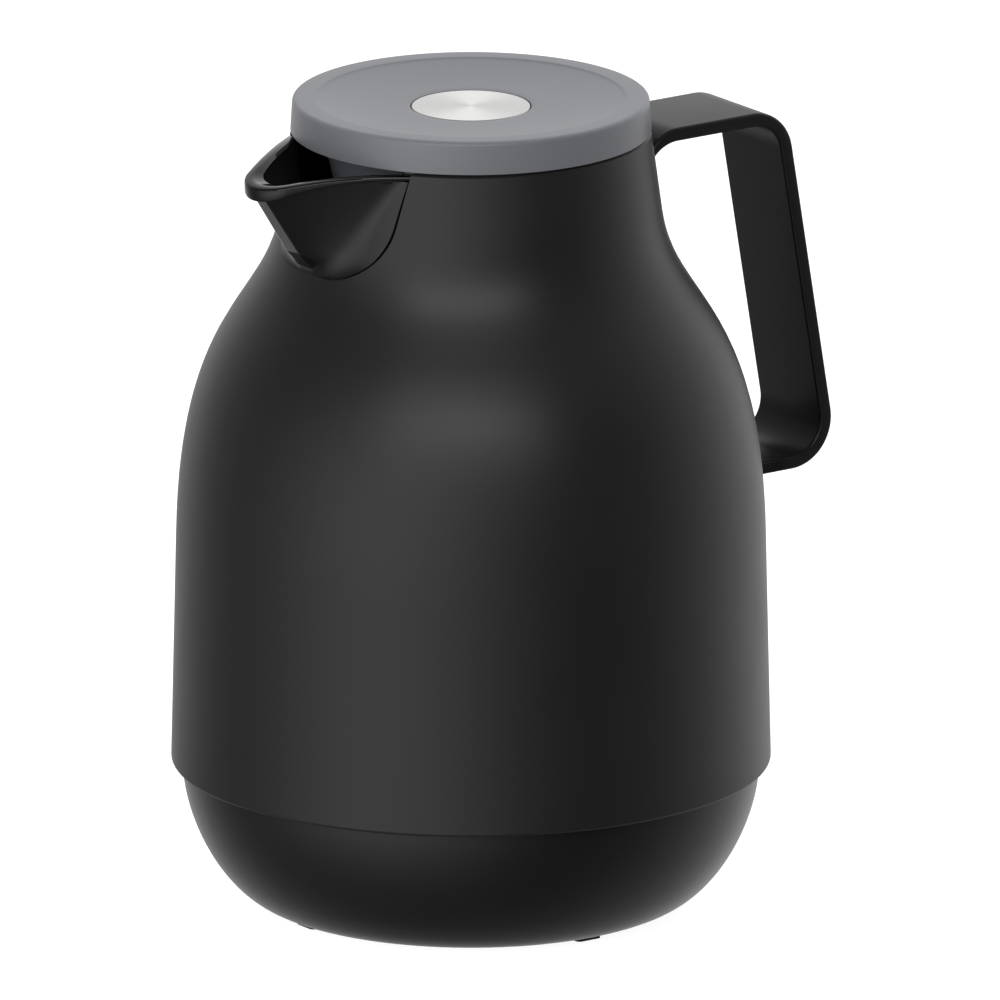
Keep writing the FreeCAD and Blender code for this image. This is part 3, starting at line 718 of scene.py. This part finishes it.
# Lid cover: a cap of grey polypropylene, pressed onto the cup. A flat land with a crisp inner edge
# runs round a shallow dish, and a fine spark-eroded grain keeps its highlights dull.
grained_pp = moulded(
    "Grained grey polypropylene",
    dark="545559",
    light="595a5e",
    roughness=0.38,
    grain_mm=0.5,
    grain_depth_mm=0.005,
    **{"Specular IOR Level": 0.5},
)
lid_outline = [
    (15.1, 196.6),
    (17.0, 196.6),
    (17.0, 201.8),
    (37.2, 201.8),
    (37.2, 197.8),
    (39.2, 197.8),
    (39.2, 204.1),
    (42.2, 204.1),
    (42.75, 198.2),
    (45.0, 198.2),
    (44.56, 205.5),
    (44.4, 206.0),
    (44.05, 206.35),
    (43.5, 206.5),
    (38.9, 206.5),
    (38.5, 206.4),
    (38.1, 206.2),
    (36.9, 206.0),
    (34.0, 205.63),
    (30.0, 205.18),
    (26.0, 204.81),
    (22.0, 204.52),
    (18.0, 204.31),
    (15.1, 204.2),
]
lid_turned = spun(lid_outline, rounding=0.18, steps=160)
lid_piece = finished("dished_lid", lid_turned, sharp_degrees=35, material=grained_pp)
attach(lid_piece, "lid")
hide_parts("lid_cover")

# Return spring: stainless wire, drawn bright and coiled cold. It stands on the cup's floor under
# the button, which shortens it when pressed; here it is built at one length and rides with the lid.
drawn_wire = bright_steel(
    "Drawn stainless wire",
    dark="9a9c9e",
    light="bcbec0",
    roughness=0.28,
    streak_mm=0.4,
    stretch=(1.0, 1.0, 1.0),
)
coil_r = 7.6
wire_r = 0.55
coil_turns = 4.5
coil_low_z = 187.63
coil_rise = 13.14
coil_steps = 216
coil = bmesh.new()
bmesh.ops.create_circle(coil, cap_ends=True, radius=wire_r * MM, segments=14)
bmesh.ops.rotate(coil, matrix=Matrix.Rotation(math.pi / 2, 3, "X"), verts=coil.verts)
bmesh.ops.translate(coil, vec=Vector((coil_r, 0, coil_low_z)) * MM, verts=coil.verts)
bmesh.ops.spin(
    coil,
    geom=coil.verts[:] + coil.edges[:] + coil.faces[:],
    axis=(0, 0, 1),
    cent=(0, 0, 0),
    dvec=(0, 0, coil_rise / coil_steps * MM),
    steps=coil_steps,
    angle=math.tau * coil_turns,
)
coil_piece = finished("coiled_spring", coil, sharp_degrees=40, material=drawn_wire)
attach(coil_piece, "lid")
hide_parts("return_spring")
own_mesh(coil_piece)

# Button: a black acetal core carries a stainless steel disc. The disc is spun, so fine rings round
# its centre stretch every highlight into a fan. They are drawn coarser than real so that they show.
button_plastic = moulded(
    "Black acetal",
    dark="0d0d0d",
    light="121212",
    roughness=0.4,
    grain_mm=0.6,
    grain_depth_mm=0.003,
)
dress("button_core", button_plastic)
spun_steel, tree = blank_material("Spun stainless steel")
ring_mm = 0.35
place = add_node(tree, "ShaderNodeTexCoord", {}).outputs["Object"]
level = {0: place, 1: (1.0, 1.0, 0.0)}
flat = add_node(tree, "ShaderNodeVectorMath", level, operation="MULTIPLY").outputs["Vector"]
radius = add_node(tree, "ShaderNodeVectorMath", {0: flat}, operation="LENGTH")
rings = add_node(
    tree,
    "ShaderNodeTexNoise",
    {"W": radius.outputs["Value"], "Scale": 1 / (ring_mm * MM), "Detail": 3.0},
    noise_dimensions="1D",
).outputs["Fac"]
around = {0: (0.0, 0.0, 1.0), 1: flat}
round_way = add_node(tree, "ShaderNodeVectorMath", around, operation="CROSS_PRODUCT")
unit = {0: round_way.outputs["Vector"]}
tangent = add_node(tree, "ShaderNodeVectorMath", unit, operation="NORMALIZE")
tones = {"Fac": rings, "Color1": linear("e2e2e0"), "Color2": linear("f8f8f6")}
steel_tone = add_node(tree, "ShaderNodeMixRGB", tones)
ring_polish = {"Value": rings, "To Min": 0.22, "To Max": 0.4}
steel_polish = add_node(tree, "ShaderNodeMapRange", ring_polish)
shader = add_node(
    tree,
    "ShaderNodeBsdfPrincipled",
    {
        "Base Color": steel_tone.outputs["Color"],
        "Metallic": 1.0,
        "Roughness": steel_polish.outputs["Result"],
        "Anisotropic": 0.7,
        "Tangent": tangent.outputs["Vector"],
    },
)
add_node(tree, "ShaderNodeOutputMaterial", {"Surface": shader.outputs["BSDF"]})
dress("button_disc", spun_steel)

# Push rod and valve: a ground stainless rod goes down from the button to a grey plug with a
# silicone washer, held by a plated pan-head screw.
ground_steel = bright_steel(
    "Ground stainless steel",
    dark="a6a8aa",
    light="c6c8ca",
    roughness=0.2,
    streak_mm=0.5,
    stretch=(1.0, 1.0, 0.1),
)
dress("push_rod", ground_steel)
dress("valve_plug", smooth_pp)
dress("valve_seal", silicone)
dress("valve_screw", plated_steel)

# Camera: the photograph's own view, from the spout's side and a little above. A long lens looks
# from ten metres away, so that the carafe's sides hardly converge.
aim_height = 102.3 * MM
aim_right = 7.24 * MM
view_azimuth = math.radians(-35.5)
view_elevation = math.radians(15.45)
view_width = 249.6 * MM
view_distance = 10.0
right = Vector((math.cos(view_azimuth), math.sin(view_azimuth), 0))
front = Vector((math.sin(view_azimuth), -math.cos(view_azimuth), 0))
towards = (front + Vector((0, 0, math.tan(view_elevation)))).normalized()
lens = bpy.data.cameras.new("camera")
lens.sensor_width = 36.0
lens.lens = lens.sensor_width * view_distance / view_width
lens.clip_start = 1.0
lens.clip_end = 40.0
camera = bpy.data.objects.new("camera", lens)
camera.location = Vector((0, 0, aim_height)) + right * aim_right + towards * view_distance
camera.rotation_euler = towards.to_track_quat("Z", "Y").to_euler()
bpy.context.scene.collection.objects.link(camera)
bpy.context.scene.camera = camera

# Floor: a wide sheet of opal acrylic, cast flat and lit evenly from below like a photographer's
# table. Its glow fills the shadow under the base, so the carafe stands on plain white. It is kept
# out of reflections, which would grey the black surfaces.
floor_half = 12.0
sheet = bmesh.new()
bmesh.ops.create_grid(sheet, x_segments=1, y_segments=1, size=floor_half)
opal, tree = blank_material("Lit opal acrylic")
cloud_mm = 60.0
place = add_node(tree, "ShaderNodeTexCoord", {}).outputs["Object"]
casting = {"Vector": place, "Scale": 1 / (cloud_mm * MM), "Detail": 2.0}
cloud = add_node(tree, "ShaderNodeTexNoise", casting)
tones = {"Fac": cloud.outputs["Fac"], "Color1": linear("7c7c7c"), "Color2": linear("808080")}
opal_tone = add_node(tree, "ShaderNodeMixRGB", tones)
scatter = add_node(tree, "ShaderNodeBsdfDiffuse", {"Color": opal_tone.outputs["Color"]})
lamp = add_node(tree, "ShaderNodeEmission", {"Color": linear("ffffff"), "Strength": 0.95})
layers = {0: scatter.outputs["BSDF"], 1: lamp.outputs["Emission"]}
sheet_light = add_node(tree, "ShaderNodeAddShader", layers)
add_node(tree, "ShaderNodeOutputMaterial", {"Surface": sheet_light.outputs["Shader"]})
opal.cycles.emission_sampling = "NONE"
floor_mesh = bpy.data.meshes.new("floor")
sheet.to_mesh(floor_mesh)
sheet.free()
floor_mesh.materials.append(opal)
floor = bpy.data.objects.new("floor", floor_mesh)
bpy.context.scene.collection.objects.link(floor)
floor.visible_glossy = False

# Light: four soft panels of stretched white cloth. A wide one overhead lights the lid and floor,
# a broad one on the left and a small one at the back lift the edges, and a long, low one above
# the camera draws the highlight on the shoulder. Only that last one shows in reflections.


def softbox(name, place, target, width, height, watts, shine):
    """A soft panel of light, turned towards a point, with or without a reflection of its own."""
    panel = bpy.data.lights.new(name, "AREA")
    panel.shape = "RECTANGLE"
    panel.size = width
    panel.size_y = height
    panel.energy = watts
    stand = bpy.data.objects.new(name, panel)
    stand.location = place
    stand.rotation_euler = (place - target).to_track_quat("Z", "Y").to_euler()
    stand.visible_camera = False
    stand.visible_glossy = shine
    bpy.context.scene.collection.objects.link(stand)


def studio_way(turn, lift):
    """Direction from the carafe, in degrees to the right of the camera and above the floor."""
    azimuth = view_azimuth + math.radians(turn)
    rise = math.tan(math.radians(lift))
    return Vector((math.sin(azimuth), -math.cos(azimuth), rise)).normalized()


middle = Vector((0, 0, 0.1))
behind = -front * 0.3
overhead_place = Vector((0, 0, 1.5)) + behind
left_place = middle + studio_way(-38.0, 16.0) * 1.1
back_place = middle + studio_way(130.0, 35.0) * 1.2
shoulder_place = middle + studio_way(-4.0, 32.0) * 1.2
softbox("overhead", overhead_place, behind, width=2.0, height=2.0, watts=33.0, shine=False)
softbox("left", left_place, middle, width=1.2, height=0.8, watts=7.5, shine=False)
softbox("back", back_place, middle, width=0.6, height=0.6, watts=9.0, shine=False)
softbox("shoulder", shoulder_place, middle, width=1.3, height=0.35, watts=4.6, shine=True)

# Backdrop: a white cove that brightens towards the back, and a white bounce card low on the left.
# The black surfaces mirror both, which gives them their tones.
cove_squash = (1.0, 1.0, 1.5)
cove_way = right * 0.3 - front * 0.95
cove_dark, cove_light = 0.06, 1.0
cove_swell = 2.0
card_way = studio_way(-36.0, -8.0)
card_tightness = 3.5
card_strength = 1.35
world = bpy.data.worlds.new("studio")
bpy.context.scene.world = world
world.use_nodes = True
tree = world.node_tree
tree.nodes.clear()
seen = add_node(tree, "ShaderNodeTexCoord", {}).outputs["Generated"]
steep = add_node(tree, "ShaderNodeVectorMath", {0: seen, 1: cove_squash}, operation="MULTIPLY")
unit = {0: steep.outputs["Vector"]}
way = add_node(tree, "ShaderNodeVectorMath", unit, operation="NORMALIZE").outputs["Vector"]
depth = add_node(tree, "ShaderNodeVectorMath", {0: way, 1: cove_way}, operation="DOT_PRODUCT")
reach = {"Value": depth.outputs["Value"], "From Min": -0.5, "From Max": 0.9}
ramp = add_node(tree, "ShaderNodeMapRange", reach).outputs["Result"]
swell = add_node(tree, "ShaderNodeMath", {0: ramp, 1: cove_swell}, operation="POWER")
paint = {"Value": swell.outputs["Value"], "To Min": cove_dark, "To Max": cove_light}
glow = add_node(tree, "ShaderNodeMapRange", paint).outputs["Result"]
card = add_node(tree, "ShaderNodeVectorMath", {0: way, 1: card_way}, operation="DOT_PRODUCT")
card_face = add_node(tree, "ShaderNodeMapRange", {"Value": card.outputs["Value"]})
lobe = {0: card_face.outputs["Result"], 1: card_tightness}
card_lobe = add_node(tree, "ShaderNodeMath", lobe, operation="POWER")
card_and_cove = {0: card_lobe.outputs["Value"], 1: card_strength, 2: glow}
total = add_node(tree, "ShaderNodeMath", card_and_cove, operation="MULTIPLY_ADD")
studio = {"Color": linear("ffffff"), "Strength": total.outputs["Value"]}
sky = add_node(tree, "ShaderNodeBackground", studio)
add_node(tree, "ShaderNodeOutputWorld", {"Surface": sky.outputs["Background"]})
bpy.context.scene.view_settings.view_transform = "Standard"
